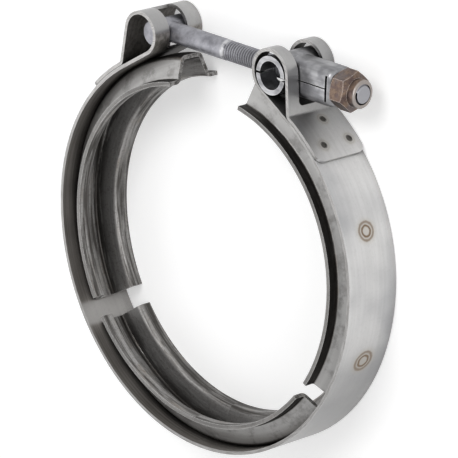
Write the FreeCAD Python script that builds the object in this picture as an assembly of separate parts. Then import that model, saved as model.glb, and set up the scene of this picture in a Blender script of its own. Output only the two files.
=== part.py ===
import FreeCAD, Part
import os
from math import sin, cos, tan, radians, degrees, atan2, acos, pi, sqrt

os.makedirs("parts", exist_ok=True)
V = FreeCAD.Vector

# ---------------------------------------------------------------- sizes, mm
# The ring's axis is Z, the bolt side is +Y and the nut end is +X.
BAND_WIDTH = 24.0          # strip width along the ring's axis
BAND_R = 80.0              # outer radius of the true half of the ring
BAND_T = 1.3               # strip thickness
DRAW_IN = 8.0              # how far each upper quarter's centre is moved off the ring's centre
FLAP_GAP = 0.15            # air between a folded flap and the band under it
FLAP_END_L = 48.3          # where each flap ends, degrees from +Y about the quarter's centre
FLAP_END_R = 46.9
FLAP_CORNER = 3.5          # radius on the flaps' end corners
FOLD_R = 1.2               # outside radius of the fold where a loop turns into its flap
PIT_R, PIT_DEPTH = 1.15, 0.35   # spot-weld dimples in the flaps
NUGGET_R = 2.0             # weld metal under each dimple
SPOTS = ((13.0, -1.8), (4.8, 5.4), (4.9, -7.5))   # dimples: degrees short of the flap's end, z

SEG_T = 1.6                # V-segment sheet
SEG_DEPTH = 8.7            # web outside to foot outside, radially
FLANK_DEG = 20.0           # lean of each flank from the radial direction
WEB_HALF = 5.0             # half width of the web, outside, before rounding
FOOT_HALF = 12.3           # half distance over the feet
BEND_R = 0.9               # inside radius of the sheet's bends
SEG_TOP = 10.0             # upper ends of the side segments, degrees about the quarter's centre
GAP_FROM, GAP_TO = 122.0, 128.6   # each lower gap, degrees from +Y about the ring's centre

BOLT_R = 4.0               # plain shank
THREAD_R = 3.9             # thread crest
THREAD_LEN = 70.4          # M8 x 1.25, its helix left off
HEAD_R = 5.0               # cross head of the T-bolt
HEAD_HALF = 7.8
HEAD_DROP = 0.2            # bolt axis below the centre of the head's loop
BOLT_PROUD = 0.45          # bolt end beyond the nut

HEAD_ROOM, TUBE_ROOM = 2.3, 0.8      # air round the head and the tube in their loops
LOOP_AT_L, LOOP_AT_R = 20.23, 18.9   # place of each loop, degrees from +Y about its quarter's centre
LOOP_RISE = 1.7                      # how far the loops stand off the band
LEAN_L, LEAN_R = 9.0, 5.0            # lean of each loop's outer leg, degrees
SLOT_L, SLOT_R = 4.7, 6.6            # half widths of the loops' slots
SLOT_CORNER = 2.4
SLOT_DEEP_IN = 5.6                   # slot bottom below the bolt's axis, on the bolt's side
SLOT_DEEP_L, SLOT_DEEP_R = 6.4, 9.6  # slot bottom below the bolt's axis in each outer leg

TUBE_R = 7.3               # trunnion's cross tube
TUBE_HALF = 11.9
TUBE_UP = 0.7              # tube's centre above the bolt's axis
TUBE_PLAY = 1.0            # tube to the loop's wall on the bolt's side
TRUN_T = 1.9               # trunnion sheet
TUBE_SPLIT = 0.9
NOSE_LEN = 25.3            # tube's centre to the bearing face
NOSE_HALF = 6.1            # nose half width, along the ring's axis
NOSE_H = 7.1               # nose half height
NOSE_CORNER = 3.3
SEAM = 0.5
RELIEF = 1.1               # slot between the nose's sides and its end plate
PLATE_HOLE = 4.45

NUT_AF = 13.6
NUT_TURN = -10.5           # how far the nut is turned from corners-up
NUT_GAP = 0.25
NUT_RIDGE = 6.35           # bearing face to where the flats end
NUT_CONE = 0.48            # rise of the nut's top cone, along the bolt per radial length
COLLAR_R = 5.4
COLLAR_OVAL = 0.95         # the collar is pressed oval to lock
NUT_LEN = 10.3
NUT_BORE = 3.96
PLAY = 0.3                 # air between the head and the loop it bears on

R_IN = BAND_R - BAND_T
H = BAND_WIDTH / 2.0
Q_OUT = BAND_R - DRAW_IN           # upper quarters, outside radius
Q_IN = Q_OUT - BAND_T


# ---------------------------------------------------------------- helpers
def polar(centre, r, deg):
    """Point at radius r, deg measured from +Y towards +X."""
    return V(centre[0] + r * sin(radians(deg)), centre[1] + r * cos(radians(deg)), 0)


def sector(centre, r0, r1, a0, a1):
    """Flat ring sector between two radii and two angles from +Y."""
    am = (a0 + a1) / 2.0
    o = Part.Arc(polar(centre, r1, a0), polar(centre, r1, am), polar(centre, r1, a1)).toShape()
    i = Part.Arc(polar(centre, r0, a1), polar(centre, r0, am), polar(centre, r0, a0)).toShape()
    e0 = Part.makeLine(polar(centre, r1, a1), polar(centre, r0, a1))
    e1 = Part.makeLine(polar(centre, r0, a0), polar(centre, r1, a0))
    return Part.Face(Part.Wire([o, e0, i, e1]))


def quad(points):
    pts = [V(p[0], p[1], 0) for p in points]
    return Part.Face(Part.makePolygon(pts + [pts[0]]))


def rounded(points):
    """Closed wire through (x, y, radius) corners, each corner rounded by its radius."""
    n = len(points)
    starts, ends, mids = [], [], []
    for k in range(n):
        p = V(points[k][0], points[k][1], 0)
        a = V(points[k - 1][0], points[k - 1][1], 0)
        b = V(points[(k + 1) % n][0], points[(k + 1) % n][1], 0)
        r = points[k][2]
        if r <= 0:
            starts.append(p)
            ends.append(p)
            mids.append(None)
            continue
        u = (a - p).normalize()
        w = (b - p).normalize()
        half = u.getAngle(w) / 2.0
        run = r / tan(half)
        bis = (u + w).normalize()
        starts.append(p + u * run)
        ends.append(p + w * run)
        mids.append(p + bis * (r / sin(half) - r))
    edges = []
    for k in range(n):
        if mids[k] is not None:
            edges.append(Part.Arc(starts[k], mids[k], ends[k]).toShape())
        nxt = starts[(k + 1) % n]
        if (nxt - ends[k]).Length > 1e-6:
            edges.append(Part.makeLine(ends[k], nxt))
    return Part.Wire(edges)


def fused(shapes):
    body = shapes[0].multiFuse(shapes[1:]) if len(shapes) > 1 else shapes[0]
    return body.removeSplitter()


def along_x(r, x0, x1):
    """Cylinder on the bolt's axis."""
    return Part.makeCylinder(r, x1 - x0, V(x0, BOLT_Y, 0), V(1, 0, 0))


def mirrored(shape):
    return shape.mirror(V(0, 0, 0), V(1, 0, 0))


# ---------------------------------------------------------------- where the loops and the bolt lie
def loop_place(deg, r):
    """Centre and outside radius of one loop, drawn on the +X side."""
    d = Q_IN + r + LOOP_RISE
    return DRAW_IN + d * sin(radians(deg)), d * cos(radians(deg)), r


LOOP_L = loop_place(LOOP_AT_L, HEAD_R + HEAD_ROOM + BAND_T)
LOOP_R = loop_place(LOOP_AT_R, TUBE_R + TUBE_ROOM + BAND_T)
BOLT_Y = LOOP_L[1] - HEAD_DROP
HEAD_X = -LOOP_L[0] + LOOP_L[2] - BAND_T - PLAY - HEAD_R
TUBE_X = LOOP_R[0] - LOOP_R[2] + BAND_T + TUBE_PLAY + TUBE_R
TUBE_Y = BOLT_Y + TUBE_UP
PLATE_X = TUBE_X + NOSE_LEN
NUT_X0 = PLATE_X + NUT_GAP
BOLT_END = NUT_X0 + NUT_LEN + BOLT_PROUD
STEP_X = BOLT_END - THREAD_LEN


# ---------------------------------------------------------------- band
def loop_profile(loop, lean, flap_end):
    """Flat outline pieces of one strip end on the +X side, from quarter ring to flap end."""
    C = (DRAW_IN, 0.0)
    cx, cy, r = loop
    c = (cx, cy)
    dist = sqrt((cx - C[0]) ** 2 + cy ** 2)
    leave = degrees(atan2(cx - C[0], cy)) + degrees(acos((Q_IN + r) / dist))
    pieces = [sector(C, Q_IN, Q_OUT, leave, 90.0)]
    # straight inner leg, tangent to the ring and to the loop
    n = V(sin(radians(leave)), cos(radians(leave)), 0)
    t1 = V(C[0], C[1], 0) + n * Q_IN
    t2 = V(cx, cy, 0) - n * r
    pieces.append(quad([t1, t2, t2 + n * BAND_T, t1 + n * BAND_T]))
    # round of the loop
    a_end = 90.0 - lean
    pieces.append(sector(c, r - BAND_T, r, leave - 180.0, a_end))
    # outer leg down to the fold
    m = V(cos(radians(lean)), sin(radians(lean)), 0)
    u = V(sin(radians(lean)), -cos(radians(lean)), 0)
    t3 = V(cx, cy, 0) + m * r
    f_in = Q_OUT + FLAP_GAP
    f_out = f_in + BAND_T
    base = t3 + m * FOLD_R - V(C[0], C[1], 0)
    bu = base.dot(u)
    t4 = t3 - u * (bu + sqrt(bu * bu - base.dot(base) + (f_out + FOLD_R) ** 2))
    pieces.append(quad([t3, t4, t4 - m * BAND_T, t3 - m * BAND_T]))
    # fold, then the flap lying on the band
    b = t4 + m * FOLD_R
    to_c = V(C[0], C[1], 0) - b
    a0 = degrees(atan2(-m.x, -m.y))
    a1 = degrees(atan2(to_c.x, to_c.y))
    pieces.append(sector((b.x, b.y), FOLD_R, FOLD_R + BAND_T, a0, a1))
    start = degrees(atan2(b.x - C[0], b.y - C[1]))
    pieces.append(sector(C, f_in, f_out, start, flap_end))
    return pieces


def flap_corners(flap_end):
    """Cutters that round the two end corners of the flap on the +X side."""
    f = Q_OUT + FLAP_GAP
    n = V(sin(radians(flap_end)), cos(radians(flap_end)), 0)
    along = V(n.y, -n.x, 0)
    end = V(DRAW_IN, 0, 0) + n * (f - 0.05)
    cuts = []
    for s in (-1, 1):
        k = FLAP_CORNER
        corner = end + V(0, 0, s * H)
        centre = corner - along * k - V(0, 0, s * k)
        a = centre + V(0, 0, s * k)
        b = centre + along * k
        d = (V(0, 0, s) + along).normalize()
        arc = Part.Arc(a, centre + d * k, b).toShape()
        out1 = corner + V(0, 0, s * 1.0) + along * 1.0
        line = [b, b + along * 1.0, out1, a + V(0, 0, s * 1.0), a]
        wire = Part.Wire([arc] + [Part.makeLine(line[i], line[i + 1]) for i in range(4)])
        cuts.append(Part.Face(wire).extrude(n * (BAND_T + 1.0)))
    return cuts


def band_end(loop, lean, slot, deep_out, flap_end):
    """One strip end, drawn on the +X side."""
    profile = loop_profile(loop, lean, flap_end)
    body = fused([face.extrude(V(0, 0, BAND_WIDTH)) for face in profile])
    body.translate(V(0, 0, -H))
    cx, cy, r = loop
    for x0, x1, deep in ((cx - r - 1, cx, SLOT_DEEP_IN), (cx - 0.01, cx + r + 1, deep_out)):
        floor = BOLT_Y - deep
        box = Part.makeBox(x1 - x0, cy + r + 1 - floor, 2 * slot, V(x0, floor, -slot))
        low = [e for e in box.Edges if abs(e.BoundBox.YMax - floor) < 1e-6
               and e.BoundBox.XLength > 1 and e.BoundBox.ZLength < 1e-6]
        body = body.cut(box.makeFillet(SLOT_CORNER, low))
    for cut in flap_corners(flap_end):
        body = body.cut(cut)
    centre = V(DRAW_IN, 0, 0)
    for short, z in SPOTS:
        deg = radians(flap_end - short)
        n = V(sin(deg), cos(deg), 0)
        top = centre + n * (Q_OUT + FLAP_GAP + BAND_T) + V(0, 0, z)
        under = centre + n * (Q_OUT - 0.2) + V(0, 0, z)
        body = body.fuse(Part.makeCylinder(NUGGET_R, FLAP_GAP + 0.5, under, n))
        body = body.cut(Part.makeCylinder(PIT_R, PIT_DEPTH + 0.5, top + n * 0.5, n * -1))
    return body


def band():
    lower = sector((0, 0), R_IN, BAND_R, 90.0, 270.0).extrude(V(0, 0, BAND_WIDTH))
    lower.translate(V(0, 0, -H))
    right = band_end(LOOP_R, LEAN_R, SLOT_R, SLOT_DEEP_R, FLAP_END_R)
    left = mirrored(band_end(LOOP_L, LEAN_L, SLOT_L, SLOT_DEEP_L, FLAP_END_L))
    return fused([lower, right, left])


# ---------------------------------------------------------------- V-segments
def hat(shift):
    """Closed hat section in the XZ plane at +X; shift moves it inwards for the quarters."""
    lean = tan(radians(FLANK_DEG))
    off = SEG_T / cos(radians(FLANK_DEG))
    web_o, web_i = R_IN, R_IN - SEG_T
    foot_o = R_IN - SEG_DEPTH
    foot_i = foot_o - SEG_T
    z_wo = WEB_HALF
    z_fo = WEB_HALF + SEG_DEPTH * lean
    z_wi = WEB_HALF + SEG_T * lean - off
    z_fi = WEB_HALF + (SEG_DEPTH + SEG_T) * lean - off
    big = BEND_R + SEG_T
    half = [(web_o, z_wo, big), (foot_o, z_fo, BEND_R), (foot_o, FOOT_HALF, 0.0),
            (foot_i, FOOT_HALF, 0.0), (foot_i, z_fi, big), (web_i, z_wi, BEND_R)]
    other = [(r, -z, q) for r, z, q in reversed(half)]
    wire = rounded([(r - shift, z, q) for r, z, q in half + other])
    wire.rotate(V(0, 0, 0), V(1, 0, 0), 90)
    return Part.Face(wire)


def swept(centre_x, shift, a0, a1):
    """Hat section turned about a Z axis at centre_x, a0 to a1 degrees from +Y towards +X."""
    face = hat(shift)
    face.translate(V(centre_x, 0, 0))
    face.rotate(V(centre_x, 0, 0), V(0, 0, 1), 90.0 - a0)
    return face.revolve(V(centre_x, 0, 0), V(0, 0, -1), a1 - a0)


def side_segment():
    upper = swept(DRAW_IN, DRAW_IN, SEG_TOP, 90.0)
    lower = swept(0.0, 0.0, 90.0, GAP_FROM)
    return fused([upper, lower])


def bottom_segment():
    return swept(0.0, 0.0, GAP_TO, 360.0 - GAP_TO)


# ---------------------------------------------------------------- T-bolt, trunnion, nut
def t_bolt():
    head = Part.makeCylinder(HEAD_R, 2 * HEAD_HALF, V(HEAD_X, BOLT_Y, -HEAD_HALF), V(0, 0, 1))
    head = head.makeChamfer(0.5, [e for e in head.Edges if e.Closed and e.BoundBox.ZLength < 1e-6])
    run = 0.5
    shank = along_x(BOLT_R, HEAD_X, STEP_X - run)
    step = Part.makeCone(BOLT_R, THREAD_R, run, V(STEP_X - run, BOLT_Y, 0), V(1, 0, 0))
    thread = along_x(THREAD_R, STEP_X, BOLT_END - 0.6)
    tip = Part.makeCone(THREAD_R, THREAD_R - 0.6, 0.6, V(BOLT_END - 0.6, BOLT_Y, 0), V(1, 0, 0))
    return fused([head, shank, step, thread, tip])


def nose_wire(half_w, half_h, corner):
    """Rounded box outline in the YZ plane, centred on the bolt."""
    c = max(corner, 0.3)
    w = rounded([(half_h, half_w, c), (half_h, -half_w, c), (-half_h, -half_w, c), (-half_h, half_w, c)])
    w.rotate(V(0, 0, 0), V(0, 1, 0), -90)
    w.rotate(V(0, 0, 0), V(1, 0, 0), 90)
    return w


def nose_block(x0, x1, inset):
    w = nose_wire(NOSE_HALF - inset, NOSE_H - inset, NOSE_CORNER - inset)
    w.translate(V(x0, BOLT_Y, 0))
    return Part.Face(w).extrude(V(x1 - x0, 0, 0))


def trunnion():
    tube = Part.makeCylinder(TUBE_R, 2 * TUBE_HALF, V(TUBE_X, TUBE_Y, -TUBE_HALF), V(0, 0, 1))
    bore = Part.makeCylinder(TUBE_R - TRUN_T, 2 * TUBE_HALF + 2, V(TUBE_X, TUBE_Y, -TUBE_HALF - 1), V(0, 0, 1))
    plate_in = PLATE_X - TRUN_T
    shell = nose_block(TUBE_X, PLATE_X, 0.0)
    ends = [e for e in shell.Edges if e.BoundBox.XLength < 1e-6 and e.BoundBox.XMin > PLATE_X - 1e-3
            and e.BoundBox.YLength < 1e-6]
    shell = shell.makeFillet(TRUN_T, ends)
    inside = nose_block(TUBE_X - TUBE_R - 1, plate_in, TRUN_T)
    body = tube.fuse(shell).cut(inside).cut(bore)
    # the sheet is split along the tube's two sides and along the nose's two sides
    split = Part.makeBox(TUBE_R + 1, TUBE_SPLIT, 2 * TUBE_HALF + 2,
                         V(TUBE_X - TUBE_R - 1, TUBE_Y - TUBE_SPLIT / 2, -TUBE_HALF - 1))
    body = body.cut(split)
    for s in (-1, 1):
        z0 = NOSE_HALF + 0.6 if s > 0 else -TUBE_HALF - 1
        body = body.cut(Part.makeBox(TUBE_R + 1, TUBE_SPLIT, TUBE_HALF + 1 - NOSE_HALF - 0.6,
                                     V(TUBE_X, TUBE_Y - TUBE_SPLIT / 2, z0)))
    body = body.cut(Part.makeBox(plate_in - TUBE_X, SEAM, 2 * TUBE_HALF + 2,
                                 V(TUBE_X, BOLT_Y - SEAM / 2, -TUBE_HALF - 1)))
    # relief between the nose's sides and the end plate
    reach = NOSE_H - TRUN_T - 0.2
    for s in (-1, 1):
        z0 = NOSE_HALF - TRUN_T - 1.3 if s > 0 else -NOSE_HALF - 1
        body = body.cut(Part.makeBox(RELIEF, 2 * reach, TRUN_T + 2.3, V(plate_in - RELIEF, BOLT_Y - reach, z0)))
    body = body.cut(along_x(PLATE_HOLE, TUBE_X, PLATE_X + 1))
    return body.removeSplitter()


def nut():
    """Hexagon with a shallow cone on top and a locking collar pressed oval."""
    corner = NUT_AF / sqrt(3.0)
    flat = NUT_AF / 2.0
    pts = []
    for k in range(6):
        a = radians(60 * k)
        pts.append(V(NUT_X0, BOLT_Y + corner * cos(a), corner * sin(a)))
    prism = Part.Face(Part.makePolygon(pts + [pts[0]])).extrude(V(NUT_LEN, 0, 0))
    ridge = NUT_X0 + NUT_RIDGE
    inner = COLLAR_R * COLLAR_OVAL - 0.5
    base = ridge + (flat - inner) * NUT_CONE
    prof = [(NUT_X0, 0), (NUT_X0, flat - 0.1), (NUT_X0 + 0.8, corner + 0.1),
            (ridge - (corner + 0.1 - flat) * NUT_CONE, corner + 0.1), (base, inner), (base, 0)]
    face = Part.Face(Part.makePolygon([V(x, BOLT_Y + r, 0) for x, r in prof + [prof[0]]]))
    body = prism.common(face.revolve(V(0, BOLT_Y, 0), V(1, 0, 0), 360))
    oval = Part.Wire([Part.Ellipse(V(0, 0, 0), COLLAR_R, COLLAR_R * COLLAR_OVAL).toShape()])
    oval.rotate(V(0, 0, 0), V(1, 1, 1), 120)
    oval.translate(V(ridge - 1.0, BOLT_Y, 0))
    collar = Part.Face(oval).extrude(V(NUT_LEN - NUT_RIDGE + 1.0, 0, 0))
    rim = [e for e in collar.Edges if e.BoundBox.XLength < 1e-6 and e.BoundBox.XMin > ridge]
    collar = collar.makeFillet(0.6, rim)
    body = body.fuse(collar)
    body = body.cut(along_x(NUT_BORE, NUT_X0 - 1, NUT_X0 + NUT_LEN + 1))
    body = body.removeSplitter()
    body.rotate(V(0, BOLT_Y, 0), V(1, 0, 0), NUT_TURN)
    return body


# ---------------------------------------------------------------- export
nodes = {
    "band": band(),
    "segment_left": mirrored(side_segment()),
    "segment_right": side_segment(),
    "segment_bottom": bottom_segment(),
    "t_bolt": t_bolt(),
    "trunnion": trunnion(),
    "nut": nut(),
}
for name, shape in nodes.items():
    if shape.ShapeType == "Compound" and len(shape.Solids) == 1:
        shape = shape.Solids[0]
    print(name, shape.ShapeType, len(shape.Solids), shape.isValid(), round(shape.Volume, 1),
          [round(v, 2) for v in (shape.BoundBox.XMin, shape.BoundBox.XMax, shape.BoundBox.YMin,
                                 shape.BoundBox.YMax, shape.BoundBox.ZMin, shape.BoundBox.ZMax)])
    shape.exportStep("parts/" + name + ".step")
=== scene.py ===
import math

import bmesh
import bpy
from mathutils import Matrix, Vector


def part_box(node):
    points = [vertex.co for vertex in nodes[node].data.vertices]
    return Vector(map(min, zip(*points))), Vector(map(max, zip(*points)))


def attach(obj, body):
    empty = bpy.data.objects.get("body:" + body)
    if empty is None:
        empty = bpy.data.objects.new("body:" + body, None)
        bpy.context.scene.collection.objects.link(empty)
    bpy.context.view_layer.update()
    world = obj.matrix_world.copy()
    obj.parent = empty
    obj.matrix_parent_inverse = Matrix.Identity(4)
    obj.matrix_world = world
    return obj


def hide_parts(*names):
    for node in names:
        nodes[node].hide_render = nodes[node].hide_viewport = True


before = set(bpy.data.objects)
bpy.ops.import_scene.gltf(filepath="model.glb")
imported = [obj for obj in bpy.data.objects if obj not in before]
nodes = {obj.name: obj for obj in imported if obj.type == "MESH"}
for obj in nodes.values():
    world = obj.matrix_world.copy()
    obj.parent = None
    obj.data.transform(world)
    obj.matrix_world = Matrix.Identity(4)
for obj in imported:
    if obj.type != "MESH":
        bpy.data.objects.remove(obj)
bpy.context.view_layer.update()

MM = 0.001
SHARP = math.radians(35)                   # an edge that turns by more than this stays sharp

# ------------------------------------------------------------------ sizes taken from the frame
bolt_low, bolt_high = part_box("t_bolt")

FLOOR_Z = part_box("segment_bottom")[0].z
NUT_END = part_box("nut")[1].x
BAND_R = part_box("band")[1].x               # outer radius of the ring's true half
HEAD_R = (bolt_high.y - bolt_low.y) / 2
HEAD_HALF = bolt_high.z
HEAD_X = bolt_low.x + HEAD_R
BOLT_Y = (bolt_low.y + bolt_high.y) / 2
BOLT_END = bolt_high.x

# ------------------------------------------------------------------ the bolt's own sizes
SHANK_R = 4.0 * MM
CREST_R = 3.9 * MM
ROOT_R = 3.27 * MM
PITCH = 1.25 * MM
THREAD_LENGTH = 70.4 * MM
THREAD_START = BOLT_END - THREAD_LENGTH
STEP_LENGTH = 0.5 * MM                     # the taper down to the thread begins this far before it
STEP_INSIDE = 0.2 * MM                     # and reaches the thread's root this far inside it
BRIGHT_RING_BACK = 0.6 * MM                    # middle of the lighter ring, this far before the thread
HEAD_CHAMFER = 0.5 * MM
TIP_CHAMFER = 0.15 * MM
RUN_OUT = 0.55 * MM                        # the ridge stops this far inside the thread's two ends
RIDGE_MIDDLE = 0.40                        # height of the ridge's middle over the root, in depths
RIDGE_HEIGHT = 1.20                        # in depths, so that its foot sinks into the core
RIDGE_FOOT, RIDGE_CREST = 0.94, 0.13       # widths of the ridge, in pitches
TURN_STEPS = 40                            # points in one turn of the ridge
ROUND_STEPS = 64                           # sides of a turned piece

# ------------------------------------------------------------------ places on the strip
QUARTER_SHIFT = 8 * MM                     # the upper quarters are drawn in by this much
FLAP_RISE = 1.45 * MM                      # a flap's outer face stands this far off the ring
SEGMENT_GAP = 125.3                        # middle of each lower gap, degrees from the bolt side
BAND_WELDS = [(71.4, 0.3 * MM, 3.9 * MM), (108.4, -0.6 * MM, 4.5 * MM)]      # degrees, z, radius
FLAP_PITS = [(33.9, -1.8 * MM), (42.1, 5.4 * MM), (42.0, -7.5 * MM)]         # degrees, z
FLAP_PIT_R = 2.4 * MM

# the head's loop and the leg that closes it
LOOP_X = -36.0 * MM                        # centre of the head's loop
LOOP_RISE = 0.2 * MM                       # height of that centre over the bolt's axis
LEG_INNER_R, LEG_OUTER_R = 7.32 * MM, 8.58 * MM       # a hair inside the strip's two faces
LEG_LEAN = math.radians(9)
LEG_CROWN = math.radians(112)              # where the leg starts on the loop's round
LEG_LENGTH = 10.0 * MM                     # its straight part
LEG_HALF = 5.0 * MM                        # half its width
LEG_STEPS = 24

# ------------------------------------------------------------------ colours of the finishes
# A pair runs from its darker to its lighter places.
SATIN = (0.35, 0.35, 0.36), (0.62, 0.615, 0.61)
SATIN_STREAK = (0.30, 0.297, 0.29)
# Outer face: darker on the flaps, and painted shade towards the bottom of the ring.
FLAPS_AND_LOW_SHADE = (0.25, 0.246, 0.242)
# Inner face: darker from oxide and from painted shade; painted light at the lower gap.
INNER_OXIDE_AND_SHADE = (0.20, 0.186, 0.172), (0.36, 0.34, 0.32)
INNER_GAP_LIGHT = (0.44, 0.43, 0.42)
SHEARED = (0.20, 0.195, 0.19), (0.31, 0.305, 0.30)
STRIP_SPECK = (0.10, 0.095, 0.09)
STRIP_RUBBED = (0.46, 0.455, 0.45)
HEAT_HALO, HEAT_RING = (0.40, 0.35, 0.27), (0.15, 0.094, 0.050)
PIT_HALO, PIT_RING, PIT_FLOOR = (0.30, 0.27, 0.20), (0.20, 0.16, 0.11), (0.045, 0.04, 0.035)
# Painted shade: near black in the strip's corners and on the channel's outward faces.
SHADE_BLACK = (0.030, 0.027, 0.025)

ROLLED = (0.085, 0.080, 0.075), (0.34, 0.333, 0.326)
BROWN_STAIN = (0.15, 0.112, 0.075)
SCAR_DARK, SCAR_BRIGHT = (0.030, 0.026, 0.022), (0.36, 0.35, 0.34)
CHANNEL_EDGE = (0.17, 0.166, 0.162)
CHANNEL_SPECK = (0.06, 0.052, 0.045)
CHANNEL_FLANK = (0.42, 0.415, 0.41)
CHANNEL_RUBBED = (0.50, 0.495, 0.485)
GROOVE_LINE = (0.016, 0.014, 0.012)
# Painted shade in the channel's corners.
GROOVE_SHADE = (0.022, 0.020, 0.018)

BLUE_GREY = (0.205, 0.205, 0.225), (0.33, 0.33, 0.355)
# Painted shade in the thread's roots.
THREAD_ROOT_SHADE = (0.06, 0.058, 0.06)
BOLT_RUBBED = (0.50, 0.50, 0.52)
STEP_BRIGHT = (0.62, 0.62, 0.63)
BOLT_TIP = (0.33, 0.33, 0.35)

PRESSED = (0.19, 0.19, 0.20), (0.33, 0.33, 0.34)
PRESSED_LINE = (0.14, 0.14, 0.145)
# Painted shade in the trunnion's corners.
TRUNNION_SHADE = (0.03, 0.03, 0.03)
TRUNNION_RUBBED = (0.62, 0.62, 0.62)

BRONZE = (0.095, 0.068, 0.062), (0.19, 0.135, 0.10)
NUT_PATCH = (0.13, 0.115, 0.118)
NUT_SPECK = (0.05, 0.035, 0.03)
# Painted shade in the nut's corners; painted highlight on the collar's rim.
NUT_SHADE = (0.03, 0.022, 0.02)
NUT_RIM_HIGHLIGHT = (0.36, 0.33, 0.31)
NUT_RUBBED = (0.48, 0.42, 0.385)

# ------------------------------------------------------------------ sizes of the studio
WHITE = (1.0, 1.0, 1.0, 1.0)
FLOOR_GREY = (0.80, 0.80, 0.80, 1.0)
FLOOR_ROUGH = 0.9
FLOOR_LIFT = 0.38                          # light added to the floor for what sees it
FLOOR_HALF = 40 * BAND_R
WORLD_LIGHT = 0.45                         # strength of the surroundings as a lamp; they look white
CAMERA_SENSOR, CAMERA_LENS = 36.0, 289.83  # mm
CAMERA_NEAR, CAMERA_FAR = 0.01, 100.0
CAMERA_AWAY = 1.3926                       # metres from the point that it looks at
CAMERA_AIM = Vector((3.24, 6.17, 0.0)) * MM
CAMERA_RIGHT = Vector((0.68405, 0.02984, -0.72883))
CAMERA_UP = Vector((-0.26025, 0.94339, -0.20564))


# ------------------------------------------------------------------ short words for node trees
class Tree:
    """A node tree with short calls for the few things that this script needs."""

    def __init__(self, tree):
        self.tree = tree

    def put(self, socket, value):
        """A number or colour is set on the socket, a socket is linked to it, None leaves it alone."""
        if isinstance(value, bpy.types.NodeSocket):
            self.tree.links.new(value, socket)
        elif value is not None:
            socket.default_value = value

    def new(self, kind, feed=None, **settings):
        """A node with its settings, and its inputs fed by name or by number."""
        made = self.tree.nodes.new(kind)
        for key, value in settings.items():
            setattr(made, key, value)
        for key, value in (feed or {}).items():
            self.put(made.inputs[key], value)
        return made

    def spot(self):
        """The point's own place, in metres."""
        return self.new("ShaderNodeTexCoord").outputs["Object"]

    def normal(self):
        return self.new("ShaderNodeNewGeometry").outputs["Normal"]

    def math(self, operation, a, b=None, clamp=False):
        made = self.new("ShaderNodeMath", {0: a, 1: b}, operation=operation, use_clamp=clamp)
        return made.outputs[0]

    def vector(self, operation, a, b=None):
        return self.new("ShaderNodeVectorMath", {0: a, 1: b}, operation=operation).outputs["Vector"]

    def measure(self, operation, a, b=None):
        """The number that vectors give: a length, a distance or a dot product."""
        return self.new("ShaderNodeVectorMath", {0: a, 1: b}, operation=operation).outputs["Value"]

    def combine(self, x, y, z):
        return self.new("ShaderNodeCombineXYZ", {0: x, 1: y, 2: z}).outputs[0]

    def split(self, vector):
        return self.new("ShaderNodeSeparateXYZ", {0: vector}).outputs

    def ramp(self, value, low, high, to_low=0.0, to_high=1.0, smooth=True):
        """Value between low and high becomes to_low to to_high, clamped."""
        feed = {"Value": value, "From Min": low, "From Max": high, "To Min": to_low, "To Max": to_high}
        kind = "SMOOTHSTEP" if smooth else "LINEAR"
        return self.new("ShaderNodeMapRange", feed, clamp=True, interpolation_type=kind).outputs["Result"]

    def between(self, value, start, full, hold, end, top=1.0):
        """A mask that rises from start to full, then falls from top at hold to nothing at end."""
        return self.math("MULTIPLY", self.ramp(value, start, full), self.ramp(value, hold, end, top, 0.0))

    def noise(self, vector, scale, detail, rough):
        feed = {"Vector": vector, "Scale": scale, "Detail": detail, "Roughness": rough}
        return self.new("ShaderNodeTexNoise", feed).outputs["Fac"]

    def mix(self, amount, a, b):
        feed = {"Factor": amount, "A": rgba(a), "B": rgba(b)}
        made = self.new("ShaderNodeMix", feed, data_type="RGBA", blend_type="MIX", clamp_factor=True)
        return made.outputs["Result"]

    def tint(self, colour, mask, amount, tone):
        """Colour moved towards tone, by amount where mask is 1."""
        return self.mix(self.math("MULTIPLY", mask, amount), colour, tone)

    def group(self, name, **values):
        return self.new("ShaderNodeGroup", values, node_tree=bpy.data.node_groups[name]).outputs

    def bump(self, height, strength, distance, normal=None):
        feed = {"Strength": strength, "Distance": distance, "Height": height, "Normal": normal}
        return self.new("ShaderNodeBump", feed).outputs["Normal"]


def rgba(colour):
    return colour if isinstance(colour, bpy.types.NodeSocket) else (*colour, 1.0)


SOCKETS = {"value": "NodeSocketFloat", "vector": "NodeSocketVector"}


def effect(name, inputs, outputs):
    """An empty shader group; inputs is (name, kind, default), outputs is (name, kind)."""
    tree = bpy.data.node_groups.new(name, "ShaderNodeTree")
    for label, kind, start in inputs:
        made = tree.interface.new_socket(name=label, in_out="INPUT", socket_type=SOCKETS[kind])
        made.default_value = start
    for label, kind in outputs:
        tree.interface.new_socket(name=label, in_out="OUTPUT", socket_type=SOCKETS[kind])
    t = Tree(tree)
    return t, t.new("NodeGroupInput").outputs, t.new("NodeGroupOutput").inputs


# ------------------------------------------------------------------ effects that several finishes share
def make_ring_place():
    """Where a point lies on the ring and which way it faces.

    Around is in degrees from the bolt side, either way round. Across is the distance from the
    strip's middle. Outward and Sideways say how far the face looks away from the axis and along it.
    Unrolled is the place with the ring laid out straight.
    """
    t, _, out = effect("ring_place", (), (("Around", "value"), ("Across", "value"), ("Outward", "value"),
                                          ("Sideways", "value"), ("Unrolled", "vector")))
    x, y, z = t.split(t.spot())
    around = t.math("ARCTAN2", x, y)
    along = t.math("MULTIPLY", around, BAND_R)
    level = t.vector("NORMALIZE", t.combine(x, y, 0.0))
    normal = t.normal()
    radius = t.measure("LENGTH", t.combine(x, y, 0.0))
    t.put(out["Around"], t.math("DEGREES", t.math("ABSOLUTE", around)))
    t.put(out["Across"], t.math("ABSOLUTE", z))
    t.put(out["Sideways"], t.math("ABSOLUTE", t.split(normal)[2]))
    t.put(out["Outward"], t.measure("DOT_PRODUCT", level, normal))
    t.put(out["Unrolled"], t.combine(along, z, radius))


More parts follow.
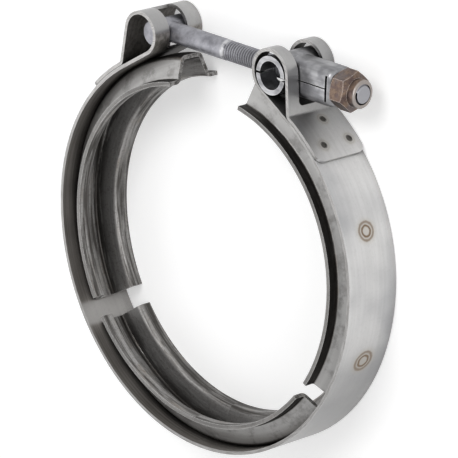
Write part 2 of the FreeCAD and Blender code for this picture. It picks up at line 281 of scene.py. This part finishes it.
def make_rolling_marks():
    """Long streaks and fine grain that rolling leaves along a strip, and wide soft clouds."""
    t, inp, out = effect(
        "rolling_marks",
        (("Place", "vector", (0, 0, 0)), ("Length", "value", 12.0), ("Width", "value", 900.0)),
        (("Streaks", "value"), ("Grain", "value"), ("Clouds", "value")))
    place = t.split(inp["Place"])

    def drawn(length, width):
        """The place stretched along the strip, from its two scales."""
        return t.combine(*[t.math("MULTIPLY", a, b) for a, b in zip(place, (length, width, width))])

    t.put(out["Streaks"], t.noise(drawn(inp["Length"], inp["Width"]), 1.0, 4.0, 0.6))
    t.put(out["Grain"], t.noise(drawn(260.0, 5200.0), 1.0, 2.0, 0.5))
    t.put(out["Clouds"], t.noise(inp["Place"], 34.0, 2.0, 0.45))


def make_edge_wear():
    """Rubbed edges: the bevelled normal leaves the true one only near an edge."""
    t, inp, out = effect("edge_wear", (("Radius", "value", 0.0005), ("Scale", "value", 700.0)),
                         (("Wear", "value"),))
    rounded = t.new("ShaderNodeBevel", {"Radius": inp["Radius"]}, samples=4).outputs["Normal"]
    turned = t.math("SUBTRACT", 1.0, t.measure("DOT_PRODUCT", rounded, t.normal()))
    rub = t.noise(t.spot(), inp["Scale"], 3.0, 0.6)
    edge = t.ramp(turned, 0.015, 0.12)
    t.put(out["Wear"], t.math("MULTIPLY", edge, t.ramp(rub, 0.25, 0.6, 0.35, 1.0)))


def make_grime_and_shade():
    """Painted shade in corners, from occlusion, with loose specks and wider stains of dirt."""
    t, inp, out = effect("grime_and_shade", (("Reach", "value", 0.006), ("Specks", "value", 900.0)),
                         (("Corner shade", "value"), ("Specks", "value"), ("Stain", "value")))
    open_air = t.new("ShaderNodeAmbientOcclusion", {"Distance": inp["Reach"]}, samples=8).outputs["AO"]
    spot = t.spot()
    # Painted shade: a point is painted darker the less open air there is round it.
    t.put(out["Corner shade"], t.math("SUBTRACT", 1.0, open_air, clamp=True))
    t.put(out["Specks"], t.ramp(t.noise(spot, inp["Specks"], 2.0, 0.7), 0.54, 0.64))
    t.put(out["Stain"], t.ramp(t.noise(spot, 120.0, 4.0, 0.65), 0.42, 0.68))


def make_weld_mark():
    """Heat marks of one spot weld: a disc, the rings round it and a faint halo."""
    t, inp, out = effect("weld_mark", (("Centre", "vector", (0, 0, 0)), ("Radius", "value", 0.004)),
                         (("Ring", "value"), ("Halo", "value"), ("Disc", "value")))
    spot = t.spot()
    wobble = t.noise(spot, 700.0, 3.0, 0.6)
    away = t.measure("DISTANCE", spot, inp["Centre"])
    away = t.math("DIVIDE", away, inp["Radius"])
    away = t.math("ADD", away, t.ramp(wobble, 0.2, 0.8, -0.05, 0.05, smooth=False))
    outer = t.between(away, 0.66, 0.86, 0.90, 1.10, 0.75)
    inner = t.between(away, 0.34, 0.50, 0.56, 0.70)
    t.put(out["Ring"], t.math("MAXIMUM", outer, inner))
    t.put(out["Halo"], t.ramp(away, 0.8, 1.55, 1.0, 0.0))
    t.put(out["Disc"], t.ramp(away, 0.45, 0.7, 1.0, 0.0))


make_ring_place()
make_rolling_marks()
make_edge_wear()
make_grime_and_shade()
make_weld_mark()


# ------------------------------------------------------------------ finishes
def finish(name):
    """An empty material; returns it with its tree and its Principled shader."""
    made = bpy.data.materials.new(name)
    made.use_nodes = True
    shader = made.node_tree.nodes["Principled BSDF"]
    return made, Tree(made.node_tree), shader


def bare_metal(t, shader, colour, rough, normal):
    """The shader becomes metal with this colour, roughness and relief."""
    t.put(shader.inputs["Base Color"], colour)
    shader.inputs["Metallic"].default_value = 1.0
    t.put(shader.inputs["Roughness"], rough)
    t.put(shader.inputs["Normal"], normal)


def on_band(degrees, z, side):
    """A point on the strip's outer face, degrees from the bolt side about the ring's centre."""
    a = math.radians(degrees)
    return (side * BAND_R * math.sin(a), BAND_R * math.cos(a), z)


def on_flap(degrees, z, side):
    """A point on a flap's outer face, degrees about the drawn-in quarter's centre."""
    a = math.radians(degrees)
    r = BAND_R - QUARTER_SHIFT + FLAP_RISE
    return (side * (QUARTER_SHIFT + r * math.sin(a)), r * math.cos(a), z)


def strip_finish():
    """Satin strip: outer face darker on the flaps and, as painted shade, towards the bottom; inner face
    darker from oxide and painted shade, with painted light at the lower gap; with weld rings, pitted flaps,
    sheared edges and painted shade in corners.
    """
    made, t, shader = finish("satin_strip")
    place = t.group("ring_place")
    marks = t.group("rolling_marks", Place=place["Unrolled"], Length=14.0, Width=700.0)
    wear = t.group("edge_wear", Radius=0.35 * MM)["Wear"]
    dirt_and_shade = t.group("grime_and_shade", Reach=9 * MM)
    inside = t.ramp(place["Outward"], -0.25, -0.05, 1.0, 0.0)
    outer = t.mix(t.ramp(marks["Clouds"], 0.30, 0.70), *SATIN)
    outer = t.mix(t.ramp(marks["Streaks"], 0.3, 0.7, 0.0, 0.18), outer, SATIN_STREAK)
    # Outer face darker on the flaps, and painted shade towards the bottom, away from the bolt.
    flaps_and_low_shade = t.math("ADD", t.ramp(place["Around"], 58.0, 28.0, 0.0, 0.55),
                     t.ramp(place["Around"], 92.0, 125.0, 0.0, 0.6))
    outer = t.mix(flaps_and_low_shade, outer, FLAPS_AND_LOW_SHADE)
    # Inner faces: darker from oxide and from painted shade, with painted light at the lower gap.
    inner = t.mix(t.ramp(marks["Streaks"], 0.3, 0.7), *INNER_OXIDE_AND_SHADE)
    from_gap = t.math("ABSOLUTE", t.math("SUBTRACT", place["Around"], SEGMENT_GAP))
    inner = t.mix(t.ramp(from_gap, 2.6, 4.2, 0.85, 0.0), inner, INNER_GAP_LIGHT)
    colour = t.mix(inside, outer, inner)
    sheared = t.mix(t.ramp(marks["Grain"], 0.35, 0.65), *SHEARED)
    colour = t.mix(t.ramp(place["Sideways"], 0.75, 0.92), colour, sheared)
    colour = t.tint(colour, dirt_and_shade["Specks"], 0.05, STRIP_SPECK)
    for degrees, z, radius in BAND_WELDS:
        for side in (1, -1):
            mark = t.group("weld_mark", Centre=on_band(degrees, z, side), Radius=radius)
            colour = t.tint(colour, mark["Halo"], 0.35, HEAT_HALO)
            colour = t.tint(colour, mark["Ring"], 0.9, HEAT_RING)
    for degrees, z in FLAP_PITS:
        for side in (1, -1):
            mark = t.group("weld_mark", Centre=on_flap(degrees, z, side), Radius=FLAP_PIT_R)
            colour = t.tint(colour, mark["Halo"], 0.22, PIT_HALO)
            colour = t.tint(colour, mark["Ring"], 0.25, PIT_RING)
            colour = t.tint(colour, mark["Disc"], 0.85, PIT_FLOOR)
    # Painted shade: near black where occlusion is strong, in the strip's corners.
    colour = t.mix(t.ramp(dirt_and_shade["Corner shade"], 0.35, 0.85, 0.0, 0.85), colour, SHADE_BLACK)
    # The leg that closes the head's loop meets the strip in no real edge, so nothing is rubbed there.
    rim = t.ramp(place["Across"], 7.0 * MM, 8.0 * MM)
    past_loop = t.ramp(t.split(t.spot())[0], LOOP_X, LOOP_X - 1 * MM)
    wear = t.math("MULTIPLY", wear, t.math("MAXIMUM", rim, t.math("SUBTRACT", 1.0, past_loop)))
    colour = t.tint(colour, wear, 0.5, STRIP_RUBBED)
    rough = t.math("ADD", t.ramp(marks["Clouds"], 0.3, 0.7, 0.30, 0.44), t.math("MULTIPLY", inside, 0.12))
    grain = t.bump(marks["Grain"], 0.12, 0.05 * MM)
    bare_metal(t, shader, colour, rough, t.bump(marks["Streaks"], 0.08, 0.05 * MM, grain))
    return made


def channel_finish():
    """Rolled channel: streaked, stained and scarred, with a dark line in its groove; painted shade makes
    its outward faces and corners near black.
    """
    made, t, shader = finish("rolled_channel")
    place = t.group("ring_place")
    marks = t.group("rolling_marks", Place=place["Unrolled"], Length=26.0, Width=620.0)
    wear = t.group("edge_wear", Radius=0.45 * MM)["Wear"]
    dirt_and_shade = t.group("grime_and_shade", Reach=8 * MM, Specks=1100.0)
    colour = t.mix(t.ramp(marks["Streaks"], 0.38, 0.62), *ROLLED)
    brown = t.math("MULTIPLY", dirt_and_shade["Stain"], t.ramp(marks["Streaks"], 0.45, 0.7))
    colour = t.tint(colour, brown, 0.7, BROWN_STAIN)
    scars = t.group("rolling_marks", Place=place["Unrolled"], Length=38.0, Width=420.0)["Streaks"]
    colour = t.mix(t.ramp(scars, 0.56, 0.66, 0.0, 0.8), colour, SCAR_DARK)
    colour = t.mix(t.ramp(scars, 0.40, 0.34, 0.0, 0.45), colour, SCAR_BRIGHT)
    colour = t.mix(t.ramp(place["Sideways"], 0.75, 0.92, 0.0, 0.8), colour, CHANNEL_EDGE)
    colour = t.tint(colour, dirt_and_shade["Specks"], 0.30, CHANNEL_SPECK)
    flank = t.between(place["Outward"], 0.12, 0.26, 0.42, 0.52)
    mottle = t.math("MULTIPLY", flank, t.ramp(dirt_and_shade["Stain"], 0.0, 1.0, 0.75, 0.30))
    colour = t.mix(mottle, colour, CHANNEL_FLANK)
    line = t.between(place["Across"], 2.0 * MM, 3.0 * MM, 4.4 * MM, 5.4 * MM)
    line = t.math("MULTIPLY", line, t.ramp(scars, 0.38, 0.50))
    line = t.math("MULTIPLY", line, t.ramp(place["Outward"], -0.4, -0.2, 0.85, 0.0))
    colour = t.mix(line, colour, GROOVE_LINE)
    # Painted shade: faces that look outward, towards the strip, are painted near black.
    colour = t.mix(t.ramp(place["Outward"], 0.55, 0.85, 0.0, 0.85), colour, SHADE_BLACK)
    # Painted shade in the channel's corners and groove, from occlusion.
    colour = t.mix(t.ramp(dirt_and_shade["Corner shade"], 0.35, 0.9, 0.0, 0.9), colour, GROOVE_SHADE)
    colour = t.tint(colour, wear, 0.85, CHANNEL_RUBBED)
    rough = t.ramp(marks["Streaks"], 0.2, 0.8, 0.56, 0.40)
    grain = t.bump(dirt_and_shade["Stain"], 0.35, 0.12 * MM)
    bare_metal(t, shader, colour, rough, t.bump(marks["Streaks"], 0.35, 0.15 * MM, grain))
    return made


def bolt_finish():
    """Blue-grey bolt: painted shade in the thread's roots and a lighter ring at the step before it."""
    made, t, shader = finish("blue_grey_bolt")
    spot = t.spot()
    x, y, z = t.split(spot)
    wear = t.group("edge_wear", Radius=0.25 * MM)["Wear"]
    cloud = t.noise(spot, 260.0, 4.0, 0.6)
    colour = t.mix(t.ramp(cloud, 0.35, 0.65), *BLUE_GREY)
    off_axis = t.measure("LENGTH", t.combine(0.0, t.math("SUBTRACT", y, BOLT_Y), z))
    # Painted shade in the thread's roots, short of the bolt's end face.
    root_shade = t.math("MULTIPLY", t.ramp(off_axis, 3.35 * MM, 3.75 * MM, 1.0, 0.0),
                  t.ramp(x, BOLT_END - 0.3 * MM, BOLT_END - 0.1 * MM, 1.0, 0.0))
    colour = t.tint(colour, root_shade, 0.8, THREAD_ROOT_SHADE)
    colour = t.tint(colour, wear, 0.6, BOLT_RUBBED)
    # A lighter, patchy ring at the step before the thread.
    from_step = t.math("ABSOLUTE", t.math("SUBTRACT", x, THREAD_START - BRIGHT_RING_BACK))
    bright_ring = t.math("MULTIPLY", t.ramp(from_step, 0.2 * MM, 1.2 * MM, 0.75, 0.0), t.ramp(cloud, 0.4, 0.55))
    colour = t.mix(bright_ring, colour, STEP_BRIGHT)
    colour = t.mix(t.ramp(x, BOLT_END - 0.25 * MM, BOLT_END - 0.05 * MM), colour, BOLT_TIP)
    rough = t.ramp(cloud, 0.3, 0.7, 0.40, 0.54)
    bare_metal(t, shader, colour, rough, t.bump(t.noise(spot, 900.0, 3.0, 0.6), 0.2, 0.08 * MM))
    return made


def trunnion_finish():
    """Pressed sheet with drawn lines, painted shade in its corners and bright rubbed edges."""
    made, t, shader = finish("pressed_trunnion")
    spot = t.spot()
    lines = t.noise(t.vector("MULTIPLY", spot, (60.0, 700.0, 300.0)), 1.0, 3.0, 0.55)
    cloud = t.noise(spot, 180.0, 3.0, 0.5)
    wear = t.group("edge_wear", Radius=0.4 * MM)["Wear"]
    dirt_and_shade = t.group("grime_and_shade", Reach=5 * MM)
    colour = t.mix(t.ramp(cloud, 0.35, 0.65), *PRESSED)
    colour = t.mix(t.ramp(lines, 0.4, 0.7, 0.0, 0.45), colour, PRESSED_LINE)
    # Painted shade in the trunnion's corners, from occlusion.
    colour = t.mix(t.ramp(dirt_and_shade["Corner shade"], 0.35, 0.9, 0.0, 0.85), colour, TRUNNION_SHADE)
    colour = t.tint(colour, wear, 0.8, TRUNNION_RUBBED)
    rough = t.ramp(lines, 0.3, 0.7, 0.34, 0.46)
    bare_metal(t, shader, colour, rough, t.bump(lines, 0.2, 0.08 * MM))
    return made


def nut_finish():
    """Bronze-brown coat in patches, worn at the corners, with painted shade in its inner corners and a
    painted highlight on the collar's rim.
    """
    made, t, shader = finish("bronzed_nut")
    spot = t.spot()
    cloud = t.noise(spot, 330.0, 4.0, 0.6)
    patch = t.noise(t.vector("ADD", spot, (0.3, 0.1, 0.2)), 190.0, 2.0, 0.5)
    wear = t.group("edge_wear", Radius=0.45 * MM, Scale=900.0)["Wear"]
    dirt_and_shade = t.group("grime_and_shade", Reach=4 * MM, Specks=1300.0)
    colour = t.mix(t.ramp(cloud, 0.35, 0.65), *BRONZE)
    colour = t.mix(t.ramp(patch, 0.5, 0.66, 0.0, 0.7), colour, NUT_PATCH)
    colour = t.tint(colour, dirt_and_shade["Specks"], 0.5, NUT_SPECK)
    # Painted shade in the nut's corners, from occlusion.
    colour = t.mix(t.ramp(dirt_and_shade["Corner shade"], 0.4, 0.9, 0.0, 0.7), colour, NUT_SHADE)
    # Painted highlight: the collar's rim, at the nut's end, is painted light.
    rim = t.ramp(t.split(spot)[0], NUT_END - 0.7 * MM, NUT_END - 0.2 * MM, 0.0, 0.8)
    colour = t.mix(rim, colour, NUT_RIM_HIGHLIGHT)
    colour = t.mix(wear, colour, NUT_RUBBED)
    rough = t.ramp(cloud, 0.3, 0.7, 0.32, 0.5)
    bare_metal(t, shader, colour, rough, t.bump(cloud, 0.25, 0.12 * MM))
    return made


FINISHES = {
    "band": strip_finish(),
    "segment_left": channel_finish(),
    "trunnion": trunnion_finish(),
    "nut": nut_finish(),
    "t_bolt": bolt_finish(),
}
FINISHES["segment_right"] = FINISHES["segment_left"]
FINISHES["segment_bottom"] = FINISHES["segment_left"]

for name, finish_made in FINISHES.items():
    slots = nodes[name].data.materials
    slots.clear()
    slots.append(finish_made)


# ------------------------------------------------------------------ objects and meshes
def new_object(name, data):
    obj = bpy.data.objects.new(name, data)
    bpy.context.scene.collection.objects.link(obj)
    return obj


def mesh_object(name, made):
    """A new object with the bmesh as its mesh."""
    data = bpy.data.meshes.new(name)
    made.to_mesh(data)
    made.free()
    return new_object(name, data)


def settle(obj):
    """The object's modifiers become its plain mesh and are removed."""
    solid = bpy.data.meshes.new_from_object(obj.evaluated_get(bpy.context.evaluated_depsgraph_get()))
    obj.modifiers.clear()
    obj.data = solid


def lathe(profile):
    """Closed mesh turned about X; profile is (x, radius) and both its ends are on the axis."""
    made = bmesh.new()
    rings = []
    for x, radius in profile:
        if radius <= 0:
            rings.append([made.verts.new((x, 0, 0))])
            continue
        angles = [2 * math.pi * k / ROUND_STEPS for k in range(ROUND_STEPS)]
        rings.append([made.verts.new((x, radius * math.cos(a), radius * math.sin(a))) for a in angles])
    for first, second in zip(rings, rings[1:]):
        for k in range(ROUND_STEPS):
            j = (k + 1) % ROUND_STEPS
            if len(first) == 1:
                made.faces.new((first[0], second[k], second[j]))
            elif len(second) == 1:
                made.faces.new((first[k], second[0], first[j]))
            else:
                made.faces.new((first[k], second[k], second[j], first[j]))
    bmesh.ops.recalc_face_normals(made, faces=made.faces)
    return made


# ------------------------------------------------------------------ T-bolt with its real thread
def bolt_core():
    """Head, shank and the thread's core, joined into one closed mesh."""
    core = [(HEAD_X, 0), (HEAD_X, SHANK_R), (THREAD_START - STEP_LENGTH, SHANK_R),
            (THREAD_START + STEP_INSIDE, ROOT_R), (BOLT_END - TIP_CHAMFER, ROOT_R),
            (BOLT_END, ROOT_R - TIP_CHAMFER), (BOLT_END, 0)]
    shank = mesh_object("bolt_shank", lathe(core))
    shank.data.transform(Matrix.Translation((0, BOLT_Y, 0)))
    ends = HEAD_HALF - HEAD_CHAMFER
    bar = [(-HEAD_HALF, 0), (-HEAD_HALF, HEAD_R - HEAD_CHAMFER), (-ends, HEAD_R),
           (ends, HEAD_R), (HEAD_HALF, HEAD_R - HEAD_CHAMFER), (HEAD_HALF, 0)]
    head = mesh_object("bolt_head", lathe(bar))
    upright = Matrix.Rotation(math.radians(90), 4, "Y")
    head.data.transform(Matrix.Translation((HEAD_X, BOLT_Y, 0)) @ upright)
    join = shank.modifiers.new("head", "BOOLEAN")
    join.operation = "UNION"
    join.solver = "EXACT"
    join.object = head
    settle(shank)
    bpy.data.objects.remove(head)
    return shank


def thread_tree():
    """Geometry Nodes: a ridge swept along a helix about Z and laid over the core it is given."""
    tree = bpy.data.node_groups.new("helical_thread", "GeometryNodeTree")
    tree.is_modifier = True
    face = tree.interface
    face.new_socket(name="Core", in_out="INPUT", socket_type="NodeSocketGeometry")
    for label, start in (("Pitch", PITCH), ("Root radius", ROOT_R), ("Crest radius", CREST_R),
                         ("Length", THREAD_LENGTH), ("Start", 0.0), ("Height of axis", BOLT_Y)):
        made = face.new_socket(name=label, in_out="INPUT", socket_type="NodeSocketFloat")
        made.default_value = start
    face.new_socket(name="Steel", in_out="INPUT", socket_type="NodeSocketMaterial")
    face.new_socket(name="Bolt", in_out="OUTPUT", socket_type="NodeSocketGeometry")
    t = Tree(tree)
    given = t.new("NodeGroupInput").outputs
    out = t.new("NodeGroupOutput").inputs

    depth = t.math("SUBTRACT", given["Crest radius"], given["Root radius"])
    middle = t.math("ADD", given["Root radius"], t.math("MULTIPLY", depth, RIDGE_MIDDLE))
    turns = t.math("DIVIDE", given["Length"], given["Pitch"])
    # Reverse makes the spiral right-handed.
    helix = t.new("GeometryNodeCurveSpiral", {
        "Resolution": TURN_STEPS, "Rotations": turns, "Start Radius": middle, "End Radius": middle,
        "Height": given["Length"], "Reverse": True})
    level = t.new("GeometryNodeSetCurveNormal", {"Curve": helix.outputs[0]}, mode="Z_UP")
    ridge = t.new("GeometryNodeCurvePrimitiveQuadrilateral", {
        "Offset": 0.0, "Bottom Width": t.math("MULTIPLY", given["Pitch"], RIDGE_FOOT),
        "Top Width": t.math("MULTIPLY", given["Pitch"], RIDGE_CREST),
        "Height": t.math("MULTIPLY", depth, RIDGE_HEIGHT)}, mode="TRAPEZOID")
    turn = t.new("GeometryNodeTransform", {
        "Geometry": ridge.outputs[0], "Rotation": (0.0, 0.0, -math.pi / 2)})
    sweep = t.new("GeometryNodeCurveToMesh", {
        "Curve": level.outputs[0], "Profile Curve": turn.outputs[0], "Fill Caps": True})
    place = t.combine(given["Start"], given["Height of axis"], None)
    lay = t.new("GeometryNodeTransform", {
        "Geometry": sweep.outputs[0], "Translation": place, "Rotation": (0.0, math.radians(90), 0.0)})
    join = t.new("GeometryNodeJoinGeometry")
    t.put(join.inputs[0], lay.outputs[0])
    t.put(join.inputs[0], given["Core"])
    solid = t.new("GeometryNodeRealizeInstances", {0: join.outputs[0]})
    coat = t.new("GeometryNodeSetMaterial", {"Geometry": solid.outputs[0], "Material": given["Steel"]})
    t.put(out["Bolt"], coat.outputs[0])
    return tree


def threaded_bolt():
    """The whole bolt as one mesh, in place of the plain one."""
    bolt = bolt_core()
    bolt.data.materials.clear()
    bolt.data.materials.append(FINISHES["t_bolt"])
    tree = thread_tree()
    cut = bolt.modifiers.new("thread", "NODES")
    cut.node_group = tree
    sockets = {item.name: item.identifier for item in tree.interface.items_tree if item.in_out == "INPUT"}
    cut[sockets["Length"]] = THREAD_LENGTH - 2 * RUN_OUT
    cut[sockets["Start"]] = THREAD_START + RUN_OUT
    cut[sockets["Steel"]] = FINISHES["t_bolt"]
    bpy.context.view_layer.update()
    settle(bolt)
    bolt.data.set_sharp_from_angle(angle=SHARP)
    bolt.name = "threaded_t_bolt"
    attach(bolt, "t_bolt")
    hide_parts("t_bolt")


threaded_bolt()


# ------------------------------------------------------------------ the closed side of the head's loop
def closed_leg():
    """Strip metal that closes the outer leg of the head's loop, from its crown down to the flap."""
    centre = Vector((LOOP_X, BOLT_Y + LOOP_RISE, 0.0))
    down = Vector((-math.sin(LEG_LEAN), -math.cos(LEG_LEAN), 0.0))
    leave = math.pi - LEG_LEAN             # where the straight part leaves the round
    turns = [LEG_CROWN + (leave - LEG_CROWN) * k / LEG_STEPS for k in range(LEG_STEPS + 1)]
    rows = [(Vector((math.cos(a), math.sin(a), 0.0)), Vector()) for a in turns]
    rows.append((rows[-1][0], down * LEG_LENGTH))
    corners = [(LEG_INNER_R, -LEG_HALF), (LEG_OUTER_R, -LEG_HALF),
               (LEG_OUTER_R, LEG_HALF), (LEG_INNER_R, LEG_HALF)]
    made = bmesh.new()
    loops = []
    for away, drop in rows:
        spots = [centre + away * r + drop + Vector((0.0, 0.0, z)) for r, z in corners]
        loops.append([made.verts.new(spot) for spot in spots])
    for first, second in zip(loops, loops[1:]):
        for k in range(4):
            j = (k + 1) % 4
            made.faces.new((first[k], first[j], second[j], second[k]))
    made.faces.new(loops[0])
    made.faces.new(loops[-1][::-1])
    bmesh.ops.recalc_face_normals(made, faces=made.faces)
    leg = mesh_object("closed_loop_leg", made)
    for face in leg.data.polygons:
        face.use_smooth = True
    leg.data.set_sharp_from_angle(angle=SHARP)
    leg.data.materials.append(FINISHES["band"])
    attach(leg, "clamp")


closed_leg()


# ------------------------------------------------------------------ floor, light and camera
def seen_rays(t):
    """1 for rays that see a surface, directly, mirrored or through glass; 0 for those that light it."""
    rays = t.new("ShaderNodeLightPath").outputs
    seen = t.math("ADD", rays["Is Camera Ray"], rays["Is Glossy Ray"], clamp=True)
    return t.math("ADD", seen, rays["Is Transmission Ray"], clamp=True)


def floor_finish():
    """Pale matt floor; what the camera and reflections see is lifted towards white, shadows stay."""
    made, t, shader = finish("pale_floor")
    shader.inputs["Base Color"].default_value = FLOOR_GREY
    shader.inputs["Roughness"].default_value = FLOOR_ROUGH
    shader.inputs["Emission Color"].default_value = WHITE
    t.put(shader.inputs["Emission Strength"], t.math("MULTIPLY", seen_rays(t), FLOOR_LIFT))
    return made


def make_floor():
    made = bmesh.new()
    corners = [(-FLOOR_HALF, -FLOOR_HALF), (FLOOR_HALF, -FLOOR_HALF),
               (FLOOR_HALF, FLOOR_HALF), (-FLOOR_HALF, FLOOR_HALF)]
    made.faces.new([made.verts.new((x, y, FLOOR_Z)) for x, y in corners])
    floor = mesh_object("floor", made)
    floor.data.materials.append(floor_finish())


def make_world():
    """Surroundings that look white but light the scene only in part."""
    world = bpy.data.worlds.new("studio")
    bpy.context.scene.world = world
    world.use_nodes = True
    world.node_tree.nodes.clear()
    t = Tree(world.node_tree)
    seen = seen_rays(t)
    backdrop = t.new("ShaderNodeBackground", {"Color": WHITE})
    strength = t.math("ADD", t.math("MULTIPLY", seen, 1.0 - WORLD_LIGHT), WORLD_LIGHT)
    t.put(backdrop.inputs["Strength"], strength)
    t.new("ShaderNodeOutputWorld", {"Surface": backdrop.outputs[0]})


def lamp(name, place, size, power):
    """A soft box aimed at the clamp; place and size in metres, power in watts."""
    data = bpy.data.lights.new(name, "AREA")
    data.shape = "RECTANGLE"
    data.size, data.size_y = size
    data.energy = power
    obj = new_object(name, data)
    obj.location = Vector(place)
    obj.rotation_mode = "QUATERNION"
    obj.rotation_quaternion = Vector(place).to_track_quat("Z", "Y")


def make_camera():
    """Long lens, looking down on the lying clamp with the bolt side towards the top."""
    data = bpy.data.cameras.new("camera")
    data.sensor_width = CAMERA_SENSOR
    data.lens = CAMERA_LENS
    data.clip_start, data.clip_end = CAMERA_NEAR, CAMERA_FAR
    back = CAMERA_RIGHT.cross(CAMERA_UP).normalized()
    cam = new_object("camera", data)
    cam.rotation_mode = "QUATERNION"
    cam.rotation_quaternion = Matrix((CAMERA_RIGHT, CAMERA_UP, back)).transposed().to_quaternion()
    cam.location = CAMERA_AIM + back * CAMERA_AWAY
    bpy.context.scene.camera = cam


make_floor()
make_world()
lamp("key", place=(0.15, 0.75, 0.95), size=(0.7, 0.5), power=5.5)
lamp("fill", place=(-0.9, -0.1, 0.8), size=(0.8, 0.6), power=2.2)
lamp("side", place=(1.0, 0.15, 0.45), size=(0.5, 0.5), power=3.0)
make_camera()
bpy.context.scene.view_settings.view_transform = "Standard"
